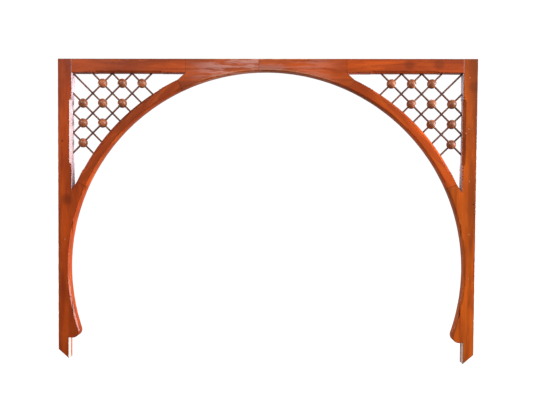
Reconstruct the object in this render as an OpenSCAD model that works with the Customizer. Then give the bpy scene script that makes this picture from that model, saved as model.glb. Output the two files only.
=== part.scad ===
// Fretwork arch for a hall opening: a horseshoe arch rib between two posts and a head rail,
// with a ball-and-dowel lattice in each spandrel. X runs across the opening, Y through its
// thickness and Z upwards. The origin is the middle of the head rail's top face.
// Every piece is drawn for the left-hand side, and the right-hand one is its mirror image.

/* [Frame] */
// Overall width, wall to wall
overall_width = 1520; // [1200:10:2000]
// Thickness of every board
board_thickness = 40; // [30:1:60]
// Width of a post above its foot
post_width = 50; // [41:0.5:65]
// Depth of the head rail
rail_depth = 50; // [41:0.5:65]

/* [Arch] */
// Radial width of the arch rib
rib_width = 40; // [30:0.5:48]
// Depth of wood above the middle of the arch
crown_depth = 44.5; // [36:0.5:56]
// Angle of the joint between haunch and side bracket, above the arch's centre
lower_joint_angle = 24.5; // [24:0.5:30]
// Angle of the joint between haunch and crown board, above the arch's centre
upper_joint_angle = 65; // [54:0.5:66]
// Offset of the joint between the two crown boards, left of the middle
crown_joint_offset = 26; // [0:1:60]
// Length of the spandrel's blunt end along the head rail
rail_tip_run = 29; // [10:1:60]
// Length of the spandrel's blunt end down the post
post_tip_drop = 28.5; // [10:0.5:60]

/* [Nose and foot] */
// Angle of the rounded nose below the arch's centre
nose_angle = 18.3; // [14:0.1:24]
// Radius of the rounded nose
nose_radius = 26; // [18:0.5:34]
// Width of the foot below the nose
foot_width = 38; // [30:0.5:40]
// Height of the foot's outer edge below the nose
foot_length = 42.5; // [20:0.5:90]
// Fall of the foot's mitred end, from the outer to the inner edge
mitre_fall = 34; // [0:0.5:60]

/* [Chamfers] */
// Chamfer along both edges of the arch's soffit
soffit_chamfer = 5.3; // [2:0.1:8]
// Stopped chamfer along a post
post_chamfer = 9; // [3:0.5:12]
// Stopped chamfer along the head rail
rail_chamfer = 5.5; // [3:0.5:12]
// Stopped chamfer along the outside of the rib
rib_chamfer = 8; // [3:0.5:12]
// Plain length between a post's chamfer and the ends of its spandrel
post_stop = 92; // [60:1:130]
// Plain length between the rail's chamfer and the ends of its spandrel
rail_stop = 84; // [60:1:130]
// Plain angle between the rib's chamfer and its lower joint
rib_stop_low = 3.5; // [3:0.5:10]
// Plain angle between the rib's chamfer and its upper joint
rib_stop_high = 5.5; // [3:0.5:10]
// Size of the small nicks cut beyond each stop
nick_size = 2.2; // [1:0.1:4]
// Distance from a stop to the first nick
nick_first = 18; // [8:1:24]
// Distance between the two nicks of a stop
nick_spacing = 16; // [8:1:24]

/* [Lattice] */
// Diameter of a ball
ball_diameter = 34.5; // [20:0.5:42]
// Diameter of a dowel
dowel_diameter = 7; // [5:0.5:12]
// Depth of a dowel's socket, from the face of its board
socket_depth = 8; // [4:0.5:14]
// Steps of the lattice between the corner and the rib, on the diagonal
diagonal_steps = 2.4; // [2.35:0.01:2.5]
// Clearance round a dowel, and at the faces of a halving joint
dowel_clearance = 0.12; // [0.05:0.01:0.3]

/* [Hidden] */

$fn = 256;
spare = 1;                                    // how far a cutter runs past what it cuts
half_width = overall_width / 2;
half_thickness = board_thickness / 2;

rib_outer_radius = half_width;
soffit_radius = rib_outer_radius - rib_width;
arch_z = -(crown_depth + soffit_radius);      // height of the arch's centre

post_x = -(half_width - post_width);          // inner face of the left post
rail_z = -rail_depth;                         // underside of the head rail

// Corners of the haunch's two joints on the outside of the rib
lower_joint = on_arch(rib_outer_radius, lower_joint_angle);
upper_joint = on_arch(rib_outer_radius, upper_joint_angle);
rail_tip_x = upper_joint[0] + rail_tip_run;
post_tip_z = lower_joint[1] - post_tip_drop;

// The nose bites a little into the soffit's circle, so that the two curves cross
nose_bite = 0.2;
nose = on_arch(soffit_radius + nose_radius - nose_bite, -nose_angle);
nose_touch = on_arch(soffit_radius, -nose_angle);
feather_rise = sqrt(pow(soffit_radius, 2) - pow(post_x, 2));
foot_x = -(half_width - foot_width);
foot_z = nose[1] - nose_radius - foot_length; // outer corner of the mitre

// The lattice hangs from the inner corner of post and rail: u runs towards the middle and
// v runs down, both in steps of one pitch
falling_numbers = [-3 : 3];
rising_numbers = [2 : 4];
corner_reach = reach_to(rib_outer_radius, [post_x, rail_z]);
pitch = corner_reach / diagonal_steps;
dowel_radius = dowel_diameter / 2;

// A point on a circle about the arch's centre, on the left-hand side
function on_arch(radius, angle) =
    [-radius * cos(angle), arch_z + radius * sin(angle)];

// How far right and down a 45-degree line runs from a point to a circle about the arch's centre
function reach_to(radius, from) =
    let (sum = from[1] - arch_z - from[0],
         rest = pow(from[0], 2) + pow(from[1] - arch_z, 2) - pow(radius, 2))
    (sum - sqrt(pow(sum, 2) - 2 * rest)) / 2;

// A lattice point as x and z
function lattice_point(u, v) = [post_x + u * pitch, rail_z - v * pitch];

// Where a dowel leaves its board at its upper end, and where it meets the board at its lower one
function falling_top(d) = lattice_point(max(d, 0), max(-d, 0));
function falling_foot(d) =
    let (top = falling_top(d), run = reach_to(rib_outer_radius - socket_depth, top))
    [top[0] + run, top[1] - run];
function rising_top(s) = lattice_point(s, 0);
function rising_foot(s) = lattice_point(0, s);
function crossing(d, s) = lattice_point((d + s) / 2, (s - d) / 2);

// ---- shared shapes ----

// A board of full thickness with the given outline in x and z
module slab(outline, thickness = board_thickness) {
    rotate([90, 0, 0])
        linear_extrude(height = thickness, center = true) polygon(outline);
}

// A round bar from one point of the middle plane to another, made longer at both ends
module bar(from, to, radius, longer_from, longer_to) {
    run = to - from;
    length = norm(run);
    translate([from[0], 0, from[1]])
        rotate([0, atan2(run[0], run[1]), 0]) rotate([0, 0, 45])
            translate([0, 0, -longer_from])
                cylinder(r = radius, h = length + longer_from + longer_to);
}

// The round space under the arch, flared at both faces to leave the soffit's chamfers
module soffit_cutter() {
    edge = half_thickness + spare;
    translate([0, 0, arch_z]) rotate([90, 0, 0])
        rotate_extrude() polygon([
            [0, -edge],
            [soffit_radius + soffit_chamfer + spare, -edge],
            [soffit_radius, soffit_chamfer - half_thickness],
            [soffit_radius, half_thickness - soffit_chamfer],
            [soffit_radius + soffit_chamfer + spare, edge],
            [0, edge]]);
}

// Cuts a stopped chamfer and its nicks on both faces of a straight edge that starts at a
// point, runs for a length at an angle to +X, and has its wood on the left of that direction
module stopped_chamfer(from, angle, length, size) {
    translate([from[0], 0, from[1]]) rotate([0, -angle, 0])
        for (face = [-1, 1]) {
            intersection() {
                translate([length / 2, face * half_thickness, 0]) rotate([45, 0, 0])
                    cube([length + 2 * size, size * sqrt(2), size * sqrt(2)], center = true);
                slab([[-size, -size], [length + size, -size], [length, size], [0, size]],
                     board_thickness + 2 * size);
            }
            for (end = [-1, 1], step = [0, 1]) {
                nick_x = length / 2 + end * (length / 2 + nick_first + step * nick_spacing);
                translate([nick_x, face * half_thickness, 0]) rotate([0, 0, face * 45])
                    rotate([0, 45, 0])
                        cube(nick_size * [1, 1, 1], center = true);
            }
        }
}

// A wedge of full thickness between two angles, from the arch's centre to past the rib
module sector(from, to) {
    far = (rib_outer_radius + rib_width) / cos((to - from) / 2);
    slab([[0, arch_z], on_arch(far, from), on_arch(far, to)], board_thickness + 4 * spare);
}

// Cuts the stopped chamfer and its nicks on both faces of the rib's outer edge
module rib_outer_cutter() {
    from = lower_joint_angle + rib_stop_low;
    to = upper_joint_angle - rib_stop_high;
    reach = rib_chamfer + spare;
    for (face = [-1, 1]) {
        intersection() {
            translate([0, 0, arch_z]) rotate([90 * face, 0, 0])
                rotate_extrude() polygon([
                    [rib_outer_radius - reach, half_thickness + spare],
                    [rib_outer_radius + reach, half_thickness - rib_chamfer - reach],
                    [rib_outer_radius + reach, half_thickness + spare]]);
            sector(from, to);
        }
        for (end = [-1, 1], step = [0, 1]) {
            beyond = (nick_first + step * nick_spacing) / rib_outer_radius * 180 / PI;
            at = on_arch(rib_outer_radius, end < 0 ? from - beyond : to + beyond);
            translate([at[0], face * half_thickness, at[1]])
                rotate([0, atan2(at[0], at[1] - arch_z), 0])
                    rotate([0, 0, face * 45]) rotate([0, 45, 0])
                        cube(nick_size * [1, 1, 1], center = true);
        }
    }
}

// Every dowel of the left lattice at the size of its socket
module sockets() {
    radius = dowel_radius + dowel_clearance;
    deep = socket_depth + dowel_clearance;
    for (d = falling_numbers)
        bar(falling_top(d), falling_foot(d), radius, deep, dowel_clearance);
    for (s = rising_numbers)
        bar(rising_top(s), rising_foot(s), radius, deep, deep);
}

// The half of a dowel that a halving joint takes away, on the front (-1) or the back (1)
module halving(at, face) {
    wide = dowel_diameter + 2 * dowel_clearance;
    translate([at[0], face * (dowel_diameter - dowel_clearance) / 2, at[1]])
        rotate([0, 45, 0])
            cube([wide, dowel_diameter, wide], center = true);
}

// ---- boards ----

module post() {
    color("peru") difference() {
        union() {
            slab([
                [-half_width, 0], [post_x, 0], [post_x, nose[1]], [foot_x, nose[1]],
                [foot_x, foot_z - mitre_fall], [-half_width, foot_z]]);
            // the shoulder above the foot carries the nose's curve on
            intersection() {
                translate([nose[0], 0, nose[1]]) rotate([90, 0, 0])
                    cylinder(r = nose_radius, h = board_thickness, center = true);
                slab([
                    [foot_x, nose[1]], [post_x, nose[1]],
                    [post_x, nose[1] - 2 * nose_radius], [foot_x, nose[1] - 2 * nose_radius]]);
            }
        }
        soffit_cutter();
        stopped_chamfer(
            [post_x, post_tip_z + post_stop], 90, rail_z - post_tip_z - 2 * post_stop, post_chamfer);
        sockets();
    }
}

module rail() {
    color("chocolate") difference() {
        slab([[post_x, rail_z], [rail_tip_x, rail_z], [rail_tip_x, 0], [post_x, 0]]);
        stopped_chamfer(
            [post_x + rail_stop, rail_z], 0, rail_tip_x - post_x - 2 * rail_stop, rail_chamfer);
        sockets();
    }
}

// A crown board reaches from the rail and the haunch to the joint at the given x
module crown_board(joint_x) {
    inner_joint = on_arch(soffit_radius - spare, upper_joint_angle);
    color("sienna") difference() {
        slab([
            [rail_tip_x, 0], [rail_tip_x, rail_z], upper_joint, inner_joint,
            [joint_x, arch_z], [joint_x, 0]]);
        soffit_cutter();
    }
}

module haunch() {
    color("peru") difference() {
        intersection() {
            translate([0, 0, arch_z]) rotate([90, 0, 0])
                cylinder(r = rib_outer_radius, h = board_thickness, center = true);
            sector(lower_joint_angle, upper_joint_angle);
        }
        soffit_cutter();
        rib_outer_cutter();
        sockets();
    }
}

// The bracket under the haunch runs out to a feather edge down the post
module upper_bracket() {
    color("sienna") difference() {
        slab([
            [post_x, post_tip_z], lower_joint,
            on_arch(soffit_radius - spare, lower_joint_angle),
            [post_x, arch_z + feather_rise]]);
        soffit_cutter();
    }
}

module nose_bracket() {
    color("sienna") difference() {
        union() {
            slab([[post_x, arch_z - feather_rise], nose_touch, nose, [post_x, nose[1]]]);
            intersection() {
                translate([nose[0], 0, nose[1]]) rotate([90, 0, 0])
                    cylinder(r = nose_radius, h = board_thickness, center = true);
                slab([
                    [post_x, nose[1] - 2 * nose_radius], [post_x + 3 * nose_radius, nose[1] - 2 * nose_radius],
                    [post_x + 3 * nose_radius, nose[1] + 2 * nose_radius], [post_x, nose[1] + 2 * nose_radius]]);
            }
        }
        soffit_cutter();
    }
}

// ---- lattice ----

// A ball sits wherever the numbers of a falling and a rising dowel add up to an odd one
module balls() {
    color("brown")
        for (s = rising_numbers, d = [1 - s : 2 : s - 1])
            difference() {
                at = crossing(d, s);
                translate([at[0], 0, at[1]])
                    rotate([90, 0, 0]) sphere(d = ball_diameter, $fn = 64);
                translate([at[0], 0, at[1]])
                    for (turn = [-45, 45])
                        rotate([0, turn, 0])
                            cylinder(d = dowel_diameter + 2 * dowel_clearance,
                                     h = ball_diameter + 2 * spare, center = true);
            }
}

// Dowel d falls from the rail or the post to the rib, over the rising dowels at the back
module falling_dowel(d) {
    color("saddlebrown") difference() {
        bar(falling_top(d), falling_foot(d), dowel_radius, socket_depth, 0);
        for (s = rising_numbers)
            if (abs(d) <= s) halving(crossing(d, s), -1);
    }
}

// Dowel s rises from the post to the rail, over the falling dowels at the front
module rising_dowel(s) {
    color("saddlebrown") difference() {
        bar(rising_top(s), rising_foot(s), dowel_radius, socket_depth, socket_depth);
        for (d = falling_numbers)
            if (abs(d) <= s) halving(crossing(d, s), 1);
    }
}

post();  // left_post
mirror([1, 0, 0]) post();  // right_post
rail();  // left_rail
mirror([1, 0, 0]) rail();  // right_rail
crown_board(-crown_joint_offset);  // left_crown_board
mirror([1, 0, 0]) crown_board(crown_joint_offset);  // right_crown_board
haunch();  // left_haunch
mirror([1, 0, 0]) haunch();  // right_haunch
upper_bracket();  // left_upper_bracket
mirror([1, 0, 0]) upper_bracket();  // right_upper_bracket
nose_bracket();  // left_nose_bracket
mirror([1, 0, 0]) nose_bracket();  // right_nose_bracket
balls();  // left_balls
mirror([1, 0, 0]) balls();  // right_balls
falling_dowel(-3);  // left_falling_dowel_1
falling_dowel(-2);  // left_falling_dowel_2
falling_dowel(-1);  // left_falling_dowel_3
falling_dowel(0);  // left_falling_dowel_4
falling_dowel(1);  // left_falling_dowel_5
falling_dowel(2);  // left_falling_dowel_6
falling_dowel(3);  // left_falling_dowel_7
rising_dowel(2);  // left_rising_dowel_1
rising_dowel(3);  // left_rising_dowel_2
rising_dowel(4);  // left_rising_dowel_3
mirror([1, 0, 0]) falling_dowel(-3);  // right_falling_dowel_1
mirror([1, 0, 0]) falling_dowel(-2);  // right_falling_dowel_2
mirror([1, 0, 0]) falling_dowel(-1);  // right_falling_dowel_3
mirror([1, 0, 0]) falling_dowel(0);  // right_falling_dowel_4
mirror([1, 0, 0]) falling_dowel(1);  // right_falling_dowel_5
mirror([1, 0, 0]) falling_dowel(2);  // right_falling_dowel_6
mirror([1, 0, 0]) falling_dowel(3);  // right_falling_dowel_7
mirror([1, 0, 0]) rising_dowel(2);  // right_rising_dowel_1
mirror([1, 0, 0]) rising_dowel(3);  // right_rising_dowel_2
mirror([1, 0, 0]) rising_dowel(4);  // right_rising_dowel_3
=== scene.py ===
"""Fretwork arch for a hall opening: red-varnished boards, turned balls and dowels.

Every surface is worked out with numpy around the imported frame, which gives the sizes. All
lengths are in metres. X runs across the opening, Y through its thickness and Z upwards, and
the left-hand side is drawn first: the right-hand one is its mirror image with its own wear.
"""

import math

import bpy
import numpy as np
from bpy.props import FloatProperty, FloatVectorProperty, PointerProperty
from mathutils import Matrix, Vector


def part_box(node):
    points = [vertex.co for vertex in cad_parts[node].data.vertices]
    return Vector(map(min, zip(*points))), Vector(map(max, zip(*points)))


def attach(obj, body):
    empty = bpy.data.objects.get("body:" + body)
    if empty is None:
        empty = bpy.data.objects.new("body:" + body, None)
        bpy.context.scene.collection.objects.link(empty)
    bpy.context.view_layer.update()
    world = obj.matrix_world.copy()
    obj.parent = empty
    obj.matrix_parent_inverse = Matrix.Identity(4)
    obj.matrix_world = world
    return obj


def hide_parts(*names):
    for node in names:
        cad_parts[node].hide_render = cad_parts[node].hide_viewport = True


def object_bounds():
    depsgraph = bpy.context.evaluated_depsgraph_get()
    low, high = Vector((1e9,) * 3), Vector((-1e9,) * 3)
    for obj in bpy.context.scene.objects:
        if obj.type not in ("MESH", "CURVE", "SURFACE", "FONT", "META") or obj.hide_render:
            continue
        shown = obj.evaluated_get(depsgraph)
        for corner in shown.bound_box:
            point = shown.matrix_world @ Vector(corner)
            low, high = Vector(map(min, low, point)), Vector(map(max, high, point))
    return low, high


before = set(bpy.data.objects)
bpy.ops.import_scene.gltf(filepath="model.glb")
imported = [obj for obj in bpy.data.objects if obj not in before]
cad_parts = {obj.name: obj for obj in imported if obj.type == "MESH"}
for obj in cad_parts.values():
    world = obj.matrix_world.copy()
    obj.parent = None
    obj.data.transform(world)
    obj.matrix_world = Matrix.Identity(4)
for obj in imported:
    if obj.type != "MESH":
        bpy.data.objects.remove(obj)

bl_info = {
    "name": "Fretwork Arch",
    "version": (1, 0, 0),
    "blender": (4, 5, 0),
    "location": "View3D > Sidebar > Fretwork",
    "description": "Builds a varnished hall arch with ball-and-dowel spandrels",
    "category": "Add Mesh",
}

CAD_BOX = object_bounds()
SIDES = ("left", "right")
FALLING = range(-3, 4)
RISING = range(2, 5)

HALF_WIDTH = float(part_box("right_post")[1][0])
HALF_THICKNESS = float(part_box("right_post")[1][1])
POST_X = float(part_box("left_rail")[0][0])          # inner face of the left post
RAIL_Z = float(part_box("left_rail")[0][2])          # underside of the head rail
RAIL_TIP_X = float(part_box("left_rail")[1][0])      # joint of left rail and crown board
CROWN_JOINT_X = float(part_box("left_crown_board")[1][0])
FOOT_TIP_Z = float(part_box("left_post")[0][2])

DIAGONAL_STEPS = 2.4      # lattice pitches from the spandrel's corner to the rib at 45 degrees
SOCKET_DEPTH = 0.008      # how far a dowel goes into a board
POST_STOP = 0.092         # plain wood beyond each end of a post's chamfer
RAIL_STOP = 0.084         # the same on a rail
RIB_STOP_LOW = math.radians(3.5)
RIB_STOP_HIGH = math.radians(5.5)
FLOOR_DROP = 0.0005       # the stage's floor lies this far under the feet


# ---- sizes and colours that a user would change ----


def length(label, text, value, high):
    """A length property in metres."""
    return FloatProperty(name=label, description=text, default=value, min=0.0, max=high,
                         subtype="DISTANCE", unit="LENGTH")


def colour(label, text, value):
    """A colour property, given as sRGB levels from 0 to 255."""
    return FloatVectorProperty(name=label, description=text, subtype="COLOR", size=3,
                               min=0.0, max=1.0, default=linear(value))


def linear(levels):
    """sRGB levels from 0 to 255 as linear light."""
    parts = [level / 255 for level in levels]
    return tuple(p / 12.92 if p <= 0.04045 else ((p + 0.055) / 1.055) ** 2.4 for p in parts)


class FretworkSizes(bpy.types.PropertyGroup):
    """Sizes of the arch's outline and of what is cut into its edges."""

    rib_width: length("Rib Width", "Radial width of the arch rib", 0.040, 0.06)
    crown_depth: length("Crown Depth", "Wood above the middle of the arch", 0.0445, 0.08)
    lower_joint: FloatProperty(name="Lower Joint", description="Angle of the joint under the haunch",
                               default=math.radians(24.5), subtype="ANGLE", unit="ROTATION")
    upper_joint: FloatProperty(name="Upper Joint", description="Angle of the joint over the haunch",
                               default=math.radians(65.0), subtype="ANGLE", unit="ROTATION")
    post_tip_drop: length("Post Tip", "Blunt end of the spandrel down the post", 0.0285, 0.06)
    nose_angle: FloatProperty(name="Nose Angle", description="Angle of the nose below the arch's centre",
                              default=math.radians(18.3), subtype="ANGLE", unit="ROTATION")
    nose_radius: length("Nose Radius", "Radius of the rounded nose", 0.026, 0.05)
    foot_width: length("Foot Width", "Width of the foot below the nose", 0.038, 0.06)
    mitre_fall: length("Mitre Fall", "Fall of the foot's mitred end", 0.034, 0.08)
    soffit_chamfer: length("Soffit Chamfer", "Chamfer along the arch's edges", 0.0053, 0.01)
    post_chamfer: length("Post Chamfer", "Stopped chamfer of a post", 0.009, 0.015)
    rail_chamfer: length("Rail Chamfer", "Stopped chamfer of a rail", 0.0055, 0.015)
    rib_chamfer: length("Rib Chamfer", "Stopped chamfer of the rib", 0.008, 0.015)
    ball_diameter: length("Ball Diameter", "Diameter of a turned ball", 0.0345, 0.05)
    dowel_diameter: length("Dowel Diameter", "Diameter of a dowel", 0.007, 0.012)
    arris: length("Arris", "Usual roundness of a worn edge", 0.0009, 0.004)
    joint_gap: length("Joint Gap", "Roundness of a board's end at a glued joint", 0.00035, 0.002)


class FretworkFinish(bpy.types.PropertyGroup):
    """Colours of the stained and varnished wood."""

    left_post: colour("Left Post", "Wood of the left post", (172, 62, 4))
    # The right post's colour is lighter and more orange than the left's: painted light from the right.
    right_post: colour("Right Post", "Wood of the right post", (178, 77, 4))
    rail: colour("Rails", "Wood of the head rails", (180, 70, 14))
    crown: colour("Crown", "Wood of the crown boards", (164, 66, 18))
    rib: colour("Rib", "Wood of the haunches and brackets", (190, 74, 12))
    ball: colour("Balls", "Wood of the turned balls", (166, 90, 50))
    dowel: colour("Dowels", "Wood of the dowels", (118, 68, 52))


# ---- shader wrapper ----


class Value:
    """A node's output that takes part in Python arithmetic by adding Math nodes."""

    def __init__(self, finish, socket):
        self.finish, self.socket = finish, socket

    def __add__(self, other):
        return self.finish.maths("ADD", self, other)

    def __radd__(self, other):
        return self.finish.maths("ADD", other, self)

    def __sub__(self, other):
        return self.finish.maths("SUBTRACT", self, other)

    def __rsub__(self, other):
        return self.finish.maths("SUBTRACT", other, self)

    def __mul__(self, other):
        return self.finish.maths("MULTIPLY", self, other)

    def __rmul__(self, other):
        return self.finish.maths("MULTIPLY", other, self)

    def __truediv__(self, other):
        return self.finish.maths("DIVIDE", self, other)

    def __rtruediv__(self, other):
        return self.finish.maths("DIVIDE", other, self)

    def __pow__(self, other):
        return self.finish.maths("POWER", self, other)


class Finish:
    """A material under construction: node() adds any node, and the rest are short forms."""

    def __init__(self, name):
        self.material = bpy.data.materials.new(name)
        self.material.use_nodes = True
        self.tree = self.material.node_tree
        self.tree.nodes.clear()

    def node(self, kind, settings=None, inputs=None, output=0):
        """Adds a node, sets its settings, then its inputs, and gives back one output."""
        made = self.tree.nodes.new(kind)
        for key, value in (settings or {}).items():
            if key == "stops":
                self.set_stops(made.color_ramp, value)
            else:
                setattr(made, key, value)
        for key, value in (inputs or {}).items():
            if isinstance(value, Value):
                self.tree.links.new(value.socket, made.inputs[key])
            else:
                made.inputs[key].default_value = value
        return Value(self, made.outputs[output])

    @staticmethod
    def set_stops(ramp, stops):
        """Gives a ramp its stops, each a position and a grey level or a colour."""
        while len(ramp.elements) < len(stops):
            ramp.elements.new(1.0)
        for element, (place, shade) in zip(ramp.elements, stops):
            element.position = place
            element.color = (*shade, 1.0) if isinstance(shade, tuple) else (shade, shade, shade, 1.0)

    def maths(self, operation, first, second):
        return self.node("ShaderNodeMath", {"operation": operation}, {0: first, 1: second})

    def step(self, value, low, high):
        """0 below low, 1 above high and a smooth rise between."""
        return self.node("ShaderNodeMapRange", {"interpolation_type": "SMOOTHSTEP"},
                         {"Value": value, "From Min": low, "From Max": high})

    def mix(self, share, first, second):
        """Mixes two colours; a plain colour is given as three linear parts."""
        first, second = [c if isinstance(c, Value) else (*c, 1.0) for c in (first, second)]
        return self.node("ShaderNodeMix", {"data_type": "RGBA"},
                         {"Factor": share, 6: first, 7: second}, output=2)

    def noise(self, place, scale=1.0, detail=2.0, roughness=0.5):
        return self.node("ShaderNodeTexNoise", None, {
            "Vector": place, "Scale": scale, "Detail": detail, "Roughness": roughness})

    def placed(self, place, turn=(0, 0, 0), scale=(1, 1, 1), shift=(0, 0, 0)):
        return self.node("ShaderNodeMapping", None, {
            "Vector": place, "Location": shift, "Rotation": turn, "Scale": scale})

    def along(self, place, axis):
        """One coordinate of a place."""
        return self.node("ShaderNodeSeparateXYZ", None, {0: place}, output=axis)

    def painted(self, name):
        """A number kept on the mesh's vertices."""
        return self.node("ShaderNodeAttribute", {"attribute_name": name}, output=2)

    def surface(self, inputs):
        """Ends the material with a shader."""
        shader = self.node("ShaderNodeBsdfPrincipled", None, inputs)
        made = self.tree.nodes.new("ShaderNodeOutputMaterial")
        self.tree.links.new(shader.socket, made.inputs["Surface"])
        return self.material


def shade(tone, factor):
    """A linear colour made darker or lighter."""
    return tuple(min(part * factor, 1.0) for part in tone)


def blend(first, second, share):
    """A linear colour between two others."""
    return tuple(a * (1 - share) + b * share for a, b in zip(first, second))


# ---- finishes ----


def varnished_wood(name, tone, grain_angle, seed, painted_sheen_amount=0.0, marks=(), edge_highlight=None, paint=None,
                   stains=(), ring_pitch=0.012):
    """Stained softwood under old shellac.

    The grain runs at an angle above +X. Slow noise stretched along it gives the boards' tone,
    its level lines give the growth rings, and fine noise gives the pores. The painted numbers
    arris and joint give a painted shade along the free edges and dark glue lines, and
    edge_highlight, where given, is the colour of a painted highlight along the edges towards the
    opening's middle. painted_sheen_amount is how much pinkish painted sheen, on a rougher and
    thinner coat, lies towards the opening's middle, marks are the places of nail heads as x, z
    and which is shown paler, stains are the places of dark blots, and paint, "side" or "side and
    chamfer", is where a post has old white paint and a pale tint on its inner side, and for
    "chamfer" a painted reflection on its stopped chamfer.
    """
    f = Finish(name)
    body = f.node("ShaderNodeTexCoord", output=3)
    board = f.placed(body, turn=(0, grain_angle, 0))
    shift = (seed * 3.7, seed * 1.3, seed * 2.1)
    slow = f.noise(f.placed(board, scale=(1.6, 7.0, 9.0), shift=shift), detail=2.0)
    field = f.noise(f.placed(board, scale=(0.55, 5.0, 7.5), shift=shift), detail=1.0)
    waver = f.noise(f.placed(board, scale=(9.0, 60.0, 60.0), shift=shift), detail=2.0)
    rings = f.maths("SINE", field * (0.9 / ring_pitch) + waver * 3.2, 0.0) * 0.5 + 0.5
    streak = f.noise(f.placed(board, scale=(5.0, 160.0, 210.0), shift=shift), detail=3.0, roughness=0.6)
    pores = f.noise(f.placed(board, scale=(60.0, 1500.0, 1700.0), shift=shift), detail=2.0)
    patch = f.noise(f.placed(board, scale=(9.0, 42.0, 50.0), shift=shift), detail=3.0, roughness=0.6)
    arris, joint = f.painted("arris"), f.painted("joint")

    dark, light = shade(tone, 0.5), blend(shade(tone, 1.3), linear((220, 96, 16)), 0.25)
    base = f.mix(f.step(slow, 0.3, 0.72), dark, light)
    base = f.mix(f.step(rings, 0.45, 1.0) * 0.34, base, shade(tone, 0.5))
    base = f.mix(f.step(streak, 0.45, 0.78) * 0.4, base, shade(tone, 0.42))
    redder = blend(shade(tone, 0.6), linear((120, 34, 16)), 0.5)
    yellower = blend(shade(tone, 1.2), linear((222, 110, 40)), 0.4)
    base = f.mix(f.step(patch, 0.46, 0.7) * 0.5, base, redder)
    base = f.mix((1 - f.step(patch, 0.3, 0.48)) * 0.35, base, yellower)
    base = f.mix(f.step(pores, 0.62, 0.75) * 0.35, base, shade(tone, 0.3))
    # Random noise: dirt in the roughness and the coat, and how strong the painted edge shade is.
    grime_and_edge_shade = f.step(f.noise(body, 90.0, 3.0), 0.35, 0.65)
    middle = 1 - f.step(f.maths("ABSOLUTE", f.along(body, 0), 0.0), 0.16, 0.3)
    # Painted shade along the free edges; with edge_highlight, a painted highlight there towards the middle.
    edge_shade_and_highlight = f.mix(middle, shade(tone, 0.3), edge_highlight or shade(tone, 0.3))
    base = f.mix(arris * (0.3 + grime_and_edge_shade * 0.4), base, edge_shade_and_highlight)
    base = f.mix(joint * 0.6, base, shade(tone, 0.16))
    # Pinkish painted sheen towards the opening's middle, where the coat is also made rougher and thinner.
    painted_sheen_patches = f.step(f.noise(f.placed(board, scale=(8.0, 50.0, 62.0), shift=shift), detail=4.0, roughness=0.62),
                  0.44, 0.58) * middle * painted_sheen_amount
    base = f.mix(painted_sheen_patches, base, linear((205, 150, 138)))
    scuff = scratches(f, board, shift)
    base = f.mix(scuff * 0.35, base, linear((214, 140, 96)))
    for x, z, pale in marks:
        base = nail_mark(f, body, base, x, z, pale)
    if paint:
        base = old_paint_and_chamfer_reflection(f, body, base, patch, "chamfer" in paint)
    for x, z in stains:
        away = distance_from(f, body, x, z)
        base = f.mix((1 - f.step(away + patch * 0.012, 0.014, 0.034)) * 0.5, base, shade(tone, 0.3))

    height = rings * 0.25 + streak * 0.5 + pores * 0.4 - scuff * 0.6
    bump = f.node("ShaderNodeBump", None, {"Strength": 0.28, "Distance": 0.0004, "Height": height})
    rough = 0.34 + streak * 0.12 + grime_and_edge_shade * 0.1 + painted_sheen_patches * 0.25
    return f.surface({
        "Base Color": base, "Roughness": rough, "Normal": bump, "IOR": 1.5, "Specular IOR Level": 0.14,
        "Coat Weight": (0.56 - grime_and_edge_shade * 0.2 - painted_sheen_patches * 0.2) * (1 - joint * 0.8),
        "Coat Roughness": 0.13, "Coat IOR": 1.5})


def scratches(f, board, shift):
    """Thin pale scratches: the narrow level lines of a stretched noise, kept in a few places."""
    line = f.noise(f.placed(board, scale=(11.0, 60.0, 75.0), shift=shift, turn=(0, 0.25, 0)), detail=1.0)
    thin = 1 - f.step(f.maths("ABSOLUTE", line - 0.52, 0.0), 0.0, 0.004)
    where = f.step(f.noise(f.placed(board, scale=(16.0, 16.0, 16.0), shift=shift)), 0.58, 0.7)
    return thin * where


def old_paint_and_chamfer_reflection(f, body, base, patch, chamfer_reflection):
    """Pale colour on a post's inner side: a thin lavender-white tint in the spandrel, thick white
    paint on the foot's front.

    A stopped chamfer can also get a pale pinkish painted reflection. Each place is a box in |x|, y and z.
    """
    x, y, z = f.maths("ABSOLUTE", f.along(body, 0), 0.0), f.along(body, 1), f.along(body, 2)
    side_x, foot_x, soft = -POST_X, HALF_WIDTH - 0.038, 0.0004
    beside = (1 - f.step(x, side_x + soft, side_x + 2 * soft)) * f.step(z, -0.49, -0.46)
    on_foot = ((1 - f.step(x, foot_x + soft, foot_x + 2 * soft)) * (1 - f.step(z, -1.026, -1.024))
               * (1 - f.step(y + patch * 0.004, 0.007, 0.010)))
    # Thin pale lavender-white on the inner side within the spandrel.
    base = f.mix(beside * (0.45 + patch * 0.5), base, linear((226, 214, 226)))
    # Pale pinkish painted reflection along the stopped chamfer.
    if chamfer_reflection:
        across = (f.step(x, side_x + soft, side_x + 2 * soft)
                  * (1 - f.step(x, side_x + 0.0086, side_x + 0.0090)))
        inwards = f.step(y, -0.0199, -0.0195) * (1 - f.step(y, -0.0118, -0.0112))
        upwards = f.step(z, -0.40, -0.38) * (1 - f.step(z, -0.145, -0.135))
        base = f.mix(across * inwards * upwards * (0.4 + patch * 0.45), base, linear((228, 196, 198)))
    return f.mix(on_foot * 0.95, base, linear((206, 194, 188)))


def distance_from(f, body, x, z):
    """Distance from a place on the front face."""
    return f.node("ShaderNodeVectorMath", {"operation": "DISTANCE"},
                  {0: body, 1: (x, -HALF_THICKNESS, z)}, output=1)


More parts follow.
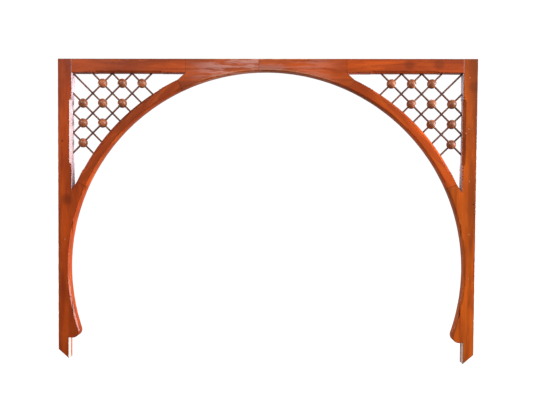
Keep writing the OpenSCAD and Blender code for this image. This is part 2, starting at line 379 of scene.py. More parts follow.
def nail_mark(f, body, base, x, z, pale):
    """A filled nail hole on the front face: a small disc with a dark ring."""
    away = distance_from(f, body, x, z)
    ring = (1 - f.step(away, 0.0026, 0.0040)) * 0.65
    disc = 1 - f.step(away, 0.0018, 0.0026)
    ringed = f.mix(ring, base, linear((84, 30, 14)))
    return f.mix(disc * 0.85, ringed, linear((222, 138, 92)) if pale else linear((60, 24, 14)))


def turned_wood(name, tone, seed, long_scale):
    """Stained hardwood of the balls and dowels, with painted shade round the dowel mouths, the crossings and
    the sockets.
    """
    f = Finish(name)
    body = f.node("ShaderNodeTexCoord", output=3)
    shift = (seed * 2.3, seed, seed * 1.7)
    grain = f.noise(f.placed(body, turn=(0, -math.pi / 4, 0), scale=(long_scale, 260.0, 260.0), shift=shift),
                    detail=3.0)
    cloud = f.noise(f.placed(body, scale=(38.0, 38.0, 38.0), shift=shift), detail=3.0)
    base = f.mix(f.step(cloud, 0.3, 0.7), shade(tone, 0.62), shade(tone, 1.25))
    base = f.mix(f.step(grain, 0.42, 0.75) * 0.5, base, shade(tone, 0.45))
    # Painted shade where the arris number is set: round dowel mouths, at crossings and at sockets.
    base = f.mix(f.painted("arris") * 0.7, base, shade(tone, 0.2))
    bump = f.node("ShaderNodeBump", None, {"Strength": 0.22, "Distance": 0.0003, "Height": grain})
    return f.surface({
        "Base Color": base, "Roughness": 0.4 + cloud * 0.12, "Normal": bump, "IOR": 1.5,
        "Specular IOR Level": 0.35, "Coat Weight": 0.6, "Coat Roughness": 0.33, "Coat IOR": 1.5})


# ---- outline in x and z, on the left-hand side ----


class Outline:
    """Points and curves of the arch's face, worked out from the sizes."""

    def __init__(self, sizes):
        self.soffit = HALF_WIDTH - sizes.rib_width
        self.centre_z = -(sizes.crown_depth + self.soffit)
        self.nose_radius = sizes.nose_radius
        self.nose = self.on_arch(self.soffit + sizes.nose_radius, -sizes.nose_angle)
        self.foot_x = -(HALF_WIDTH - sizes.foot_width)
        self.foot_z = FOOT_TIP_Z + sizes.mitre_fall
        self.lower = self.on_arch(HALF_WIDTH, sizes.lower_joint)
        self.upper = self.on_arch(HALF_WIDTH, sizes.upper_joint)
        self.post_tip_z = self.lower[1] - sizes.post_tip_drop
        self.feather = math.sqrt(self.soffit**2 - POST_X**2)
        self.pitch = self.reach((POST_X, RAIL_Z)) / DIAGONAL_STEPS

    def on_arch(self, radius, angle):
        """Points on a circle about the arch's centre, at angles above the springing."""
        return np.stack([-radius * np.cos(angle), self.centre_z + radius * np.sin(angle)], -1)

    def reach(self, start, radius=HALF_WIDTH):
        """How far right and down a 45-degree line runs from a point to such a circle."""
        rise = start[1] - self.centre_z
        both = rise - start[0]
        rest = start[0] ** 2 + rise**2 - radius**2
        return (both - math.sqrt(both**2 - 2 * rest)) / 2

    def lattice(self, u, v):
        """A lattice point, u pitches from the post and v pitches below the rail."""
        return np.array([POST_X + u * self.pitch, RAIL_Z - v * self.pitch])

    def soffit_x(self, z, radius):
        """The soffit circle's left-hand x at some heights, or 0 where it doesn't reach."""
        return -np.sqrt(np.clip(radius**2 - (z - self.centre_z) ** 2, 0, None))

    def nose_z(self, x):
        """Height of the nose's underside."""
        return self.nose[1] - np.sqrt(np.clip(self.nose_radius**2 - (x - self.nose[0]) ** 2, 0, None))


# ---- surfaces ----

GUARD = 0.0004          # keeps a face flat right up to its rounded edge
# The painted shade along a board's free edges fades out over SHADOW.
SHADOW = 0.0035         # how far an edge's darkening reaches onto the face
ROUND_STEPS = np.radians([0.0, 18.0, 36.0, 54.0, 72.0, 90.0])


def spaced(start, end, step=0.0012):
    """Numbers from start to end about a step apart, with one close to each end."""
    count = max(int(abs(end - start) / step), 2)
    guard = GUARD * np.sign(end - start)
    return np.concatenate([[start], np.linspace(start + guard, end - guard, count), [end]])


def smooth(value, low, high):
    """0 below low, 1 above high, and 3t^2 - 2t^3 between."""
    t = np.clip((value - low) / (high - low), 0, 1)
    return t * t * (3 - 2 * t)


def bell(value, middle, width):
    """A bump of height 1 with the given half width."""
    return np.exp(-(((value - middle) / width) ** 2))


def stopped_chamfer(s, low, high, size):
    """Chamfer size along an edge.

    Full between the stops, an ogee to nothing at each, then a beaded groove and four small nicks.
    """
    cut = size * smooth(s, low - 0.001, low + 0.009) * (1 - smooth(s, high - 0.009, high + 0.001))
    for stop, away in ((low, -1), (high, 1)):
        for beyond, share, width in ((0.005, 0.6, 0.002), (0.018, 0.5, 0.002), (0.026, 0.5, 0.002),
                                     (0.034, 0.5, 0.002), (0.042, 0.4, 0.002)):
            cut = np.maximum(cut, share * size * bell(s, stop + away * beyond, width))
    return cut


def wear(s, seed, usual, dings=7):
    """Roundness of an edge: a slow random swell with a few deeper knocks."""
    random = np.random.default_rng(seed)
    span = s.max() - s.min()
    swell = sum(random.uniform(0.1, 0.3) * np.sin(s * random.uniform(20, 160) + random.uniform(0, 6.28))
                for _ in range(5))
    worn = usual * (1 + swell)
    for _ in range(int(dings * span) + 1):
        place, size = s.min() + random.random() * span, random.uniform(0.3, 1.4) * usual
        worn = worn + size * bell(s, place, random.uniform(0.001, 0.005))
    return np.clip(worn, 0.35 * usual, None)


def board_rings(a, b, cuts, worn, free, end_round):
    """Closed profiles carried between two curves of the face.

    At each station the profile is a rectangle from curve a to curve b through the thickness.
    Each corner is cut back by its own chamfer and rounded: for a turn t from 0 to 90 degrees the
    round runs through (worn (1 - sin t), worn (1 - cos t)). cuts holds the chamfers of the
    corners a-front, b-front, b-back and a-back, and free is 1 where a corner lies open and 0
    where it is glued to a neighbour. Returns points, edge and joint strengths.
    """
    half = HALF_THICKNESS
    reach = np.linalg.norm(b - a, axis=1)
    across = (b - a) / np.maximum(reach, 1e-9)[:, None]
    room = np.maximum(reach - 0.0012, 0.2 * reach)
    worn = [np.minimum(w * (0.15 + 0.85 * f), reach / 7) for w, f in zip(worn, free)]
    kept = [np.minimum(c, room) for c in cuts]
    sunk = [c - k for c, k in zip(cuts, kept)]
    front, back = np.maximum(sunk[0], sunk[1]), np.maximum(sunk[2], sunk[3])
    columns = []

    def corner(index, from_b, at_back, reverse):
        cut, soft, lift = kept[index], worn[index], (back if at_back else front)
        steps = []
        # Strength of the painted edge shade: 0 at SHADOW, 0.75 at GUARD, 1 on the round; free corners only.
        for near, strength in ((SHADOW, 0.0), (GUARD, 0.75)):
            steps.append((np.minimum(cut + soft + near, reach * 0.49), 0 * cut, strength))
        turned_points = [(cut * (t < 0.78) + soft * (1 - math.sin(t)),
                          cut * (t > 0.78) + soft * (1 - math.cos(t))) for t in ROUND_STEPS]
        before, after = turned_points[2], turned_points[3]
        plain = 1 - smooth(cut, 0.001, 0.003)
        steps += [(wide, deep, 1.0) for wide, deep in turned_points[:3]]
        for share in (0.16, 0.84):
            steps.append((*(p + (q - p) * share for p, q in zip(before, after)), plain))
        steps += [(wide, deep, 1.0) for wide, deep in turned_points[3:]]
        for near, strength in ((GUARD, 0.75), (SHADOW, 0.0)):
            steps.append((0 * cut, cut + soft + near, strength))
        if reverse:
            steps.reverse()
        for wide, deep, strength in steps:
            t = reach - wide if from_b else wide
            y = half - lift - deep if at_back else lift + deep - half
            columns.append((t, y, strength * free[index] + 0 * t))

    corner(0, False, False, True)
    corner(1, True, False, False)
    corner(2, True, True, True)
    corner(3, False, True, False)
    t, y, arris = (np.stack(part, 1) for part in zip(*columns))
    inset = np.zeros(len(a))
    inset[[0, -1]] = end_round
    small = np.minimum(inset, reach / 3)[:, None]
    t = np.clip(t, small, reach[:, None] - small)
    y = np.clip(y, -half + inset[:, None], half - inset[:, None])
    points = np.stack([a[:, None, 0] + across[:, None, 0] * t, y,
                       a[:, None, 1] + across[:, None, 1] * t], -1)
    joint = np.zeros_like(t)
    joint[[0, 1, -2, -1]] = 1.0
    return points, arris, joint


def ring_faces(rings, columns):
    """Quads between rings that close on themselves, and a cap on each end."""
    row, column = np.meshgrid(np.arange(rings - 1), np.arange(columns), indexing="ij")
    nearest, following = row * columns + column, row * columns + (column + 1) % columns
    quads = np.stack([nearest, following, following + columns, nearest + columns], -1).reshape(-1, 4)
    first = list(range(columns))[::-1]
    last = list(range((rings - 1) * columns, rings * columns))
    return quads, [first, last]


def enclosed(points, quads):
    """Signed volume of a closed surface of quads, as a sum of tetrahedra from the origin."""
    p = points[quads]
    return (np.einsum("ij,ij->i", p[:, 0], np.cross(p[:, 1], p[:, 2])).sum()
            + np.einsum("ij,ij->i", p[:, 0], np.cross(p[:, 2], p[:, 3])).sum()) / 6


def swept_mesh(pieces, mirrored):
    """One mesh from several ringed surfaces, each (points, painted numbers), turned outwards."""
    vertices, faces, painted, base = [], [], {}, 0
    for points, numbers in pieces:
        rings, columns = points.shape[:2]
        flat = points.reshape(-1, 3) * ((-1, 1, 1) if mirrored else (1, 1, 1))
        flat = np.clip(flat, CAD_LOW, CAD_HIGH)
        quads, caps = ring_faces(rings, columns)
        made = quads.tolist() + caps
        if enclosed(flat - flat.mean(0), quads) < 0:
            made = [face[::-1] for face in made]
        faces += [[index + base for index in face] for face in made]
        vertices.append(flat)
        for key, value in numbers.items():
            painted.setdefault(key, []).append(value.reshape(-1))
        base += len(flat)
    return np.concatenate(vertices), faces, {k: np.concatenate(v) for k, v in painted.items()}


CAD_LOW, CAD_HIGH = np.array(CAD_BOX[0]), np.array(CAD_BOX[1])


def add_piece(name, node, pieces, material, mirrored):
    """Makes the mesh object, gives it its finish and puts it in the frame."""
    vertices, faces, painted = swept_mesh(pieces, mirrored)
    mesh = bpy.data.meshes.new(name)
    mesh.from_pydata(vertices, [], faces)
    for key, value in painted.items():
        mesh.attributes.new(key, "FLOAT", "POINT").data.foreach_set("value", value.astype(np.float32))
    mesh.polygons.foreach_set("use_smooth", np.ones(len(faces), dtype=bool))
    mesh.materials.append(material)
    mesh.validate()
    piece = bpy.data.objects.new(name, mesh)
    bpy.context.scene.collection.objects.link(piece)
    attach(piece, "root")
    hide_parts(node)
    return piece


# ---- boards ----


def add_board(side, board, a, b, s, cuts, material, seed, free=(1, 1)):
    """Makes one board between two curves. cuts and free are for curve a and for curve b."""
    sizes = bpy.context.scene.fretwork_sizes
    worn = [wear(s, seed * 10 + k, sizes.arris) for k in range(4)]
    cut_a, cut_b = (c + 0 * s for c in cuts)
    free_a, free_b = (f + 0 * s for f in free)
    points, arris, joint = board_rings(a, b, (cut_a, cut_b, cut_b, cut_a), worn,
                                       (free_a, free_b, free_b, free_a), sizes.joint_gap)
    add_piece(f"{side}_{board}_piece", f"{side}_{board}",
              [(points, {"arris": arris, "joint": joint})], material, side == "right")


def post(side, outline, sizes, material):
    """Post: outer face to inner face, with the arch's bite, the nose's shoulder and the foot."""
    under_nose = float(outline.nose_z(np.array(POST_X)))
    z = spaced(0.0, under_nose)
    bite = np.abs(z - outline.centre_z) < outline.feather
    inner = np.where(bite, outline.soffit_x(z, outline.soffit), POST_X)
    fan_z = under_nose + 0.034
    outer_z = np.where(z > fan_z + 0.05, z, fan_z + (z - under_nose) * 0.05 / (fan_z + 0.05 - under_nose))
    a, b = np.stack([-HALF_WIDTH + 0 * z, outer_z], 1), np.stack([inner, z], 1)

    step_x = np.linspace(POST_X, outline.foot_x, 10)[1:]
    step_a = fan_z - np.linspace(0, 0.0009, 10)[1:]
    a = np.concatenate([a, np.stack([-HALF_WIDTH + 0 * step_x, step_a], 1)])
    b = np.concatenate([b, np.stack([step_x, outline.nose_z(step_x)], 1)])

    t = spaced(0.0, 1.0, 0.02)[1:]
    foot_a = step_a[-1] + (outline.foot_z - step_a[-1]) * t
    foot_b = b[-1, 1] + (FOOT_TIP_Z - b[-1, 1]) * t
    a = np.concatenate([a, np.stack([-HALF_WIDTH + 0 * t, foot_a], 1)])
    b = np.concatenate([b, np.stack([outline.foot_x + 0 * t, foot_b], 1)])

    stops = (outline.post_tip_z + POST_STOP, RAIL_Z - POST_STOP)
    flare = outline.soffit_x(b[:, 1], outline.soffit + sizes.soffit_chamfer)
    soffit_cut = np.clip(b[:, 0] - flare, 0, sizes.soffit_chamfer) * (b[:, 1] > under_nose + 0.02)
    inner_cut = np.maximum(soffit_cut, stopped_chamfer(b[:, 1], *stops, sizes.post_chamfer))
    upper_glue = (b[:, 1] < outline.post_tip_z) & (b[:, 1] > outline.centre_z + outline.feather)
    rail_glue = b[:, 1] > RAIL_Z
    lower_glue = (b[:, 1] < outline.centre_z - outline.feather) & (b[:, 0] > POST_X - 1e-6)
    add_board(side, "post", a, b, b[:, 1], (0, inner_cut), material,
              1 + (side == "right"), (1, 1.0 * ~(rail_glue | upper_glue | lower_glue)))


def rail(side, outline, sizes, material):
    """Rail: top edge to underside, from the post to the crown board."""
    x = spaced(POST_X, RAIL_TIP_X)
    a, b = np.stack([x, 0 * x], 1), np.stack([x, RAIL_Z + 0 * x], 1)
    cut = stopped_chamfer(x, POST_X + RAIL_STOP, RAIL_TIP_X - RAIL_STOP, sizes.rail_chamfer)
    add_board(side, "rail", a, b, x, (0, cut), material, 3 + (side == "right"))


def crown_board(side, outline, sizes, material):
    """Crown board: along the top, down the rail's end and the spandrel's tip, to the soffit."""
    joint_x = CROWN_JOINT_X if side == "left" else -CROWN_JOINT_X
    top = spaced(joint_x, RAIL_TIP_X)
    down = spaced(0.0, RAIL_Z)[1:]
    tip = spaced(0.0, 1.0, 0.04)[1:, None]
    corner = np.array([RAIL_TIP_X, RAIL_Z])
    a = np.concatenate([
        np.stack([top, 0 * top], 1), np.stack([RAIL_TIP_X + 0 * down, down], 1),
        corner + (outline.upper - corner) * tip])
    joint_angle = math.acos(-joint_x / outline.soffit)
    turns = [joint_angle, math.radians(70.5), math.radians(67.8), sizes.upper_joint]
    angle = np.concatenate([
        turns[0] + (turns[1] - turns[0]) * (top - joint_x) / (RAIL_TIP_X - joint_x),
        turns[1] + (turns[2] - turns[1]) * down / RAIL_Z,
        turns[2] + (turns[3] - turns[2]) * tip[:, 0]])
    b = outline.on_arch(outline.soffit, angle)
    s = outline.soffit * angle
    glued = np.concatenate([0 * top, 1 + 0 * down, 0 * tip[:, 0]])
    add_board(side, "crown_board", a, b, s, (0, sizes.soffit_chamfer), material,
              5 + (side == "right"), (1 - glued, 1))


def haunch(side, outline, sizes, material):
    """Haunch: a ring between two joints, with a stopped chamfer outside."""
    s = spaced(HALF_WIDTH * sizes.lower_joint, HALF_WIDTH * sizes.upper_joint)
    angle = s / HALF_WIDTH
    a, b = outline.on_arch(HALF_WIDTH, angle), outline.on_arch(outline.soffit, angle)
    low, high = s[0] + RIB_STOP_LOW * HALF_WIDTH, s[-1] - RIB_STOP_HIGH * HALF_WIDTH
    cut = stopped_chamfer(s, low, high, sizes.rib_chamfer)
    add_board(side, "haunch", a, b, s, (cut, sizes.soffit_chamfer), material,
              7 + (side == "right"))


def upper_bracket(side, outline, sizes, material):
    """Upper bracket: from the haunch's joint to a feather edge down the post."""
    tip = spaced(0.0, 1.0, 0.05)[:, None]
    corner = np.array([POST_X, outline.post_tip_z])
    down = spaced(outline.post_tip_z, outline.centre_z + outline.feather + 0.0005)[1:]
    a = np.concatenate([outline.lower + (corner - outline.lower) * tip,
                        np.stack([POST_X + 0 * down, down], 1)])
    feather_angle = math.asin((down[-1] - outline.centre_z) / outline.soffit)
    tip_angle = sizes.lower_joint - math.radians(1.6)
    share = (down - corner[1]) / (down[-1] - corner[1])
    angle = np.concatenate([sizes.lower_joint + (tip_angle - sizes.lower_joint) * tip[:, 0],
                            tip_angle + (feather_angle - tip_angle) * share])
    b = outline.on_arch(outline.soffit, angle)
    add_board(side, "upper_bracket", a, b, b[:, 1], (0, sizes.soffit_chamfer), material,
              9 + (side == "right"), (1.0 * (a[:, 1] > corner[1]), 1))


def nose_bracket(side, outline, sizes, material):
    """Nose bracket: from its feather edge down the soffit and round the nose to the post."""
    start = -math.asin((outline.feather - 0.0005) / outline.soffit)
    arc = spaced(start * outline.soffit, -sizes.nose_angle * outline.soffit) / outline.soffit
    stop = -math.acos((POST_X - outline.nose[0]) / outline.nose_radius)
    turn = spaced(sizes.nose_angle, stop + 0.02, 0.03)[1:, None]
    round_b = outline.nose + outline.nose_radius * np.concatenate([np.cos(turn), np.sin(turn)], 1)
    b = np.concatenate([outline.on_arch(outline.soffit, arc), round_b])
    low = float(outline.nose_z(np.array(POST_X))) + 0.0004
    arc_z = outline.centre_z + outline.soffit * np.sin(arc)
    turn_z = arc_z[-1] + (low - arc_z[-1]) * np.linspace(0, 1, len(turn) + 1)[1:]
    z = np.concatenate([arc_z, turn_z])
    a = np.stack([POST_X + 0 * z, z], 1)
    fade = np.concatenate([1 + 0 * arc, smooth(turn[:, 0], -1.1, sizes.nose_angle)])
    add_board(side, "nose_bracket", a, b, np.arange(len(z)) * 0.0012, (0, sizes.soffit_chamfer * fade),
              material, 11 + (side == "right"), (0, 1))


# ---- lattice ----


def ball_surface(centre, sizes, seed):
    """A turned ball: a sphere whose four dowel mouths are pressed a little flat.

    Latitude runs from pole to pole of the dowel's axis and longitude round it. The radius is
    R (1 - sum of bells about the four mouths), with faint tool rings along the latitude.
    """
    radius = sizes.ball_diameter / 2
    lat, lon = np.meshgrid(np.linspace(0.001, math.pi - 0.001, 40), np.linspace(0, 2 * math.pi, 49)[:-1],
                           indexing="ij")
    axis, side_axis = np.array([1, 0, -1]) / math.sqrt(2), np.array([1, 0, 1]) / math.sqrt(2)
    out = (np.cos(lat)[..., None] * axis + (np.sin(lat) * np.cos(lon))[..., None] * side_axis
           + (np.sin(lat) * np.sin(lon))[..., None] * np.array([0, 1, 0]))
    mouth = sum(bell(np.arccos(np.clip(out @ way, -1, 1)), 0, 0.24)
                for way in (axis, -axis, side_axis, -side_axis))
    random = np.random.default_rng(seed)
    tool = 0.00022 * np.sin(lat * 46 + random.uniform(0, 6)) * np.sin(lat)
    distance = radius * (1 - 0.04 * mouth + tool - 0.0003)
    # The arris number here is painted shade round the four dowel mouths.
    return np.array([centre[0], 0, centre[1]]) + out * distance[..., None], {"arris": np.clip(mouth, 0, 1)}


def balls(side, outline, sizes, material):
    """The nine balls of a side, where the numbers of the two dowels add up to an odd one."""
    made = []
    for s in RISING:
        for d in range(1 - s, s, 2):
            centre = outline.lattice((d + s) / 2, (s - d) / 2)
            made.append(ball_surface(centre, sizes, 40 + 10 * s + d))
    add_piece(f"{side}_turned_balls", f"{side}_balls", made, material, side == "right")


def dowel_surface(start, end, crossings, face, sizes, seed):
    """A dowel: a circle carried along a line, halved on one face where it crosses another.

    The radius swells by a few hundredths of a millimetre along the length. Round a crossing
    the points on the given face (-1 front, 1 back) are brought back to the middle plane.
    """
    line = end - start
    full = float(np.hypot(*line))
    way = np.array([line[0], 0, line[1]]) / full
    beside = np.array([way[2], 0, -way[0]])
    half = sizes.dowel_diameter / 2 * 1.02
    edges = [np.dot(c - start, line) / full + k for c in crossings
             for k in (-half - 1e-4, -half, half, half + 1e-4)]
    s = np.unique(np.clip(np.concatenate([np.arange(0, full, 0.004), [full], edges]), 0, full))
    turn = np.linspace(0, 2 * math.pi, 25)[:-1]
    random = np.random.default_rng(seed)
    radius = sizes.dowel_diameter / 2 * (0.985 + 0.012 * np.sin(s * 90 + random.uniform(0, 6)))
    across, y = radius[:, None] * np.cos(turn), radius[:, None] * np.sin(turn)
    near = np.zeros_like(s)
    shadow = np.zeros_like(s)
    for crossing in crossings:
        away = np.abs(s - np.dot(crossing - start, line) / full)
        near = np.maximum(near, away <= half + 1e-6)
        shadow = np.maximum(shadow, bell(away, 0, 0.007))
    for stop in (SOCKET_DEPTH, full - SOCKET_DEPTH):
        shadow = np.maximum(shadow, bell(s, stop, 0.005))
    halved = np.minimum(y, 0) if face > 0 else np.maximum(y, 0)
    y = np.where(near[:, None] > 0, halved, y)
    points = (np.array([start[0], 0, start[1]]) + s[:, None, None] * way
              + across[..., None] * beside + y[..., None] * np.array([0, 1, 0]))
    # The arris number here is painted shade at the crossings and where the dowel goes into the boards.
    return points, {"arris": np.repeat(shadow[:, None], len(turn), 1)}


def dowels(side, outline, sizes, material):
    """Seven falling dowels and three rising ones, each let into its boards at both ends."""
    down = np.array([1.0, -1.0]) * SOCKET_DEPTH / math.sqrt(2)
    up = np.array([1.0, 1.0]) * SOCKET_DEPTH / math.sqrt(2)
    for number, d in enumerate(FALLING, 1):
        top = outline.lattice(max(d, 0), max(-d, 0))
        run = outline.reach(top, HALF_WIDTH - SOCKET_DEPTH)
        crossings = [outline.lattice((d + s) / 2, (s - d) / 2) for s in RISING if abs(d) <= s]
        surface = dowel_surface(top - down, top + run * np.array([1, -1]), crossings, -1, sizes, number)
        add_piece(f"{side}_falling_rod_{number}", f"{side}_falling_dowel_{number}",
                  [surface], material, side == "right")
    for number, s in enumerate(RISING, 1):
        crossings = [outline.lattice((d + s) / 2, (s - d) / 2) for d in FALLING if abs(d) <= s]
        surface = dowel_surface(outline.lattice(0, s) - up, outline.lattice(s, 0) + up,
                                crossings, 1, sizes, 20 + number)
        add_piece(f"{side}_rising_rod_{number}", f"{side}_rising_dowel_{number}",
                  [surface], material, side == "right")


# ---- operators ----


class BoardsOperator(bpy.types.Operator):
    """Shared parts of the operators that make a pair of like boards."""

    bl_options = {"REGISTER", "UNDO"}

    def execute(self, context):
        sizes = context.scene.fretwork_sizes
        colours = context.scene.fretwork_finish
        outline = Outline(sizes)
        for side in SIDES:
            self.make(side, outline, sizes, colours)
        return {"FINISHED"}


def grain_of(side, angle):
    """A grain angle in degrees on the left, mirrored on the right, in radians."""
    return math.radians(angle if side == "left" else -angle)


def upright_wood(name, side, colours, paint=None):
    """The finish of a post, which its two brackets carry on without a break."""
    left = side == "left"
    marks = [(-0.735, -0.66, True), (-0.744, -0.30, False)]
    if not left:
        marks = [(0.738, -0.63, True), (0.738, -0.79, True), (0.732, -0.067, True), (0.731, -0.25, True),
                 (0.721, -0.265, True), (0.736, -0.437, True), (0.752, -0.52, False)]
    tone = tuple(colours.left_post if left else colours.right_post)
    return varnished_wood(name, tone, math.radians(90), 1.0 + left, marks=marks, paint=paint,
                          stains=[(-0.728, -0.513)] if left else [(0.748, -0.10)])


class FRETWORK_OT_posts(BoardsOperator):
    """Add the two posts with their mitred feet"""

    bl_idname = "fretwork.posts"
    bl_label = "Posts"

    def make(self, side, outline, sizes, colours):
        # The left post's stopped chamfer also gets a painted reflection.
        finish = upright_wood(f"{side}_post_wood", side, colours,
                              paint="side and chamfer" if side == "left" else "side")
        post(side, outline, sizes, finish)


class FRETWORK_OT_rails(BoardsOperator):
    """Add the head rails over the spandrels"""

    bl_idname = "fretwork.rails"
    bl_label = "Rails"

    def make(self, side, outline, sizes, colours):
        stains = [] if side == "left" else [(0.516, -0.022), (0.622, -0.02)]
        finish = varnished_wood(f"{side}_rail_wood", tuple(colours.rail), 0.0,
                                5.0 + (side == "left"), stains=stains)
        rail(side, outline, sizes, finish)


class FRETWORK_OT_crown(BoardsOperator):
    """Add the two crown boards, rail and rib in one"""

    bl_idname = "fretwork.crown"
    bl_label = "Crown Boards"

    def make(self, side, outline, sizes, colours):
        # Towards the opening's middle the crown's edges get a pale painted highlight and its face a pinkish
        # painted sheen.
        finish = varnished_wood(f"{side}_crown_wood", tuple(colours.crown), 0.0, 5.0 + (side == "left"),
                                painted_sheen_amount=0.62 if side == "left" else 0.24, edge_highlight=linear((206, 150, 96)))
        crown_board(side, outline, sizes, finish)


class FRETWORK_OT_haunches(BoardsOperator):
    """Add the curved haunches that carry the dowels"""

    bl_idname = "fretwork.haunches"
    bl_label = "Haunches"

    def make(self, side, outline, sizes, colours):
        finish = varnished_wood(f"{side}_haunch_wood", tuple(colours.rib), grain_of(side, 45),
                                7.0 + (side == "left"))
        haunch(side, outline, sizes, finish)


class FRETWORK_OT_brackets(BoardsOperator):
    """Add the brackets above and below the springing"""

    bl_idname = "fretwork.brackets"
    bl_label = "Brackets"

    def make(self, side, outline, sizes, colours):
        upper = upright_wood(f"{side}_upper_bracket_wood", side, colours)
        lower = upright_wood(f"{side}_nose_bracket_wood", side, colours)
        upper_bracket(side, outline, sizes, upper)
        nose_bracket(side, outline, sizes, lower)


class FRETWORK_OT_balls(BoardsOperator):
    """Add the turned balls of both spandrels"""

    bl_idname = "fretwork.balls"
    bl_label = "Balls"

    def make(self, side, outline, sizes, colours):
        finish = turned_wood(f"{side}_ball_wood", tuple(colours.ball), 13.0 + (side == "left"), 50.0)
        balls(side, outline, sizes, finish)


class FRETWORK_OT_dowels(BoardsOperator):
    """Add the falling and rising dowels of both spandrels"""

    bl_idname = "fretwork.dowels"
    bl_label = "Dowels"

    def make(self, side, outline, sizes, colours):
        finish = turned_wood(f"{side}_dowel_wood", tuple(colours.dowel), 15.0 + (side == "left"), 30.0)
        dowels(side, outline, sizes, finish)


class FRETWORK_OT_stage(bpy.types.Operator):
    """Add the camera, the pale floor and backdrop, and the lights"""

    bl_idname = "fretwork.stage"
    bl_label = "Stage"

    def execute(self, context):
        scene = context.scene
        scene.view_settings.view_transform = "Standard"
        add_camera(scene)
        add_backdrop(scene)
        add_light(scene, "window_right", (4.5, -1.72, 0.4), (-0.4, 0.0, -0.4), (2.6, 3.0), 290.0)
        add_light(scene, "window_high", (1.7, -2.3, 1.25), (0.0, 0.0, -0.4), (0.9, 0.9), 24.0)
        add_light(scene, "front_high", (-1.8, -2.5, 1.15), (-0.5, 0.0, -0.8), (1.6, 0.9), 44.0)
        add_light(scene, "sheen", (-0.3, -2.6, 0.43), (0.0, 0.0, -0.03), (0.8, 0.2), 0.5)
        add_light(scene, "back_right", (4.0, 1.2, -0.7), (-0.6, 0.0, -0.5), (1.2, 1.6), 270.0)
        add_light(scene, "back_left", (-4.0, 1.4, -0.9), (0.6, 0.0, -0.6), (1.2, 1.6), 90.0)
        add_light(scene, "back_high", (0.6, 2.0, 2.2), (0.0, 0.0, -0.5), (2.0, 0.8), 30.0)
        world = bpy.data.worlds.new("studio")
        world.use_nodes = True
        world.node_tree.nodes["Background"].inputs["Color"].default_value = (1.0, 1.0, 1.0, 1.0)
        world.node_tree.nodes["Background"].inputs["Strength"].default_value = 0.19
        scene.world = world
        return {"FINISHED"}


def add_camera(scene):
    """A normal lens in front of the opening, a little right of its middle and below the rail."""
    data = bpy.data.cameras.new("camera")
    data.sensor_width = 36.0
    data.lens = 43.35
    camera = bpy.data.objects.new("camera", data)
    camera.location = (0.088, -2.374, -0.4555)
    camera.rotation_euler = [math.radians(turn) for turn in (88.2246, -0.4031, 1.7895)]
    scene.collection.objects.link(camera)
    scene.camera = camera


def add_backdrop(scene):
    """A white bowl round everything: a floor, a quarter circle and a wall, turned about Z.

    Only the camera sees it, so the arch is lit and mirrored by the lights and the dim room alone.
    """
    turns, bend, radius, top = 64, 3.0, 9.0, 9.0
    rise = np.linspace(0, math.pi / 2, 16)
    reach = np.concatenate([[0.0001], radius - bend + bend * np.sin(rise), [radius]])
    height = np.concatenate([[0.0], bend - bend * np.cos(rise), [top]]) + FOOT_TIP_Z - FLOOR_DROP
    turn = np.linspace(0, 2 * math.pi, turns, endpoint=False)
    grid = np.stack([np.outer(reach, np.cos(turn)), np.outer(reach, np.sin(turn)),
                     np.repeat(height[:, None], turns, 1)], -1)
    quads, _ = ring_faces(len(reach), turns)
    mesh = bpy.data.meshes.new("backdrop")
    mesh.from_pydata(grid.reshape(-1, 3), [], quads.tolist())
    mesh.polygons.foreach_set("use_smooth", np.ones(len(quads), dtype=bool))
    f = Finish("paper")
    body = f.node("ShaderNodeTexCoord", output=3)
    tint = f.mix(f.noise(body, 1.5, 2.0), linear((255, 255, 255)), linear((253, 253, 254)))
    mesh.materials.append(f.surface({
        "Base Color": (0.0, 0.0, 0.0, 1.0), "Roughness": 1.0, "Emission Color": tint,
        "Emission Strength": 1.04}))
    backdrop = bpy.data.objects.new("backdrop", mesh)
    backdrop.visible_diffuse = backdrop.visible_glossy = backdrop.visible_shadow = False
    scene.collection.objects.link(backdrop)


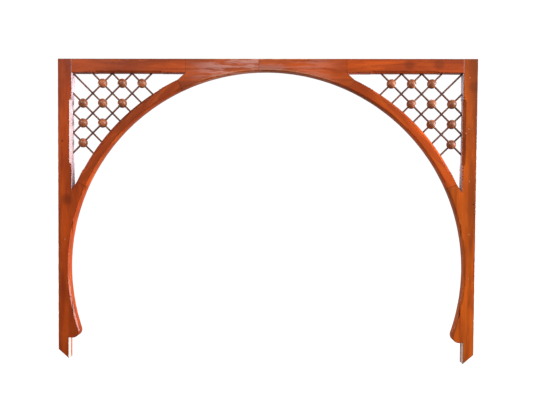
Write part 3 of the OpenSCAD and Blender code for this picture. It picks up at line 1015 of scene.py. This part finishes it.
def add_light(scene, name, place, target, size, power):
    """A rectangular soft light that faces its target."""
    data = bpy.data.lights.new(name, "AREA")
    data.shape = "RECTANGLE"
    data.size, data.size_y = size
    data.energy = power
    light = bpy.data.objects.new(name, data)
    from_target = np.array(place) - np.array(target)
    flat = math.hypot(from_target[0], from_target[1])
    light.location = place
    light.rotation_euler = (math.atan2(flat, from_target[2]), 0.0,
                            math.atan2(from_target[0], -from_target[1]))
    scene.collection.objects.link(light)


PIECES = (FRETWORK_OT_posts, FRETWORK_OT_rails, FRETWORK_OT_crown, FRETWORK_OT_haunches,
          FRETWORK_OT_brackets, FRETWORK_OT_balls, FRETWORK_OT_dowels, FRETWORK_OT_stage)


class FRETWORK_PT_panel(bpy.types.Panel):
    """Lists the sizes, the colours and the pieces of the arch"""

    bl_idname = "FRETWORK_PT_panel"
    bl_label = "Fretwork Arch"
    bl_space_type = "VIEW_3D"
    bl_region_type = "UI"
    bl_category = "Fretwork"

    def draw(self, context):
        column = self.layout.column()
        for group in (context.scene.fretwork_sizes, context.scene.fretwork_finish):
            for key in group.__annotations__:
                column.prop(group, key)
        for piece in PIECES:
            column.operator(piece.bl_idname)


CLASSES = (FretworkSizes, FretworkFinish, *PIECES, FRETWORK_PT_panel)


def register():
    for each in CLASSES:
        bpy.utils.register_class(each)
    bpy.types.Scene.fretwork_sizes = PointerProperty(type=FretworkSizes)
    bpy.types.Scene.fretwork_finish = PointerProperty(type=FretworkFinish)


def unregister():
    del bpy.types.Scene.fretwork_finish
    del bpy.types.Scene.fretwork_sizes
    for each in reversed(CLASSES):
        bpy.utils.unregister_class(each)


def main():
    """Registers the add-on, then makes the stage and every piece."""
    register()
    bpy.ops.fretwork.stage()
    bpy.ops.fretwork.posts()
    bpy.ops.fretwork.rails()
    bpy.ops.fretwork.crown()
    bpy.ops.fretwork.haunches()
    bpy.ops.fretwork.brackets()
    bpy.ops.fretwork.balls()
    bpy.ops.fretwork.dowels()


if __name__ == "__main__":
    main()
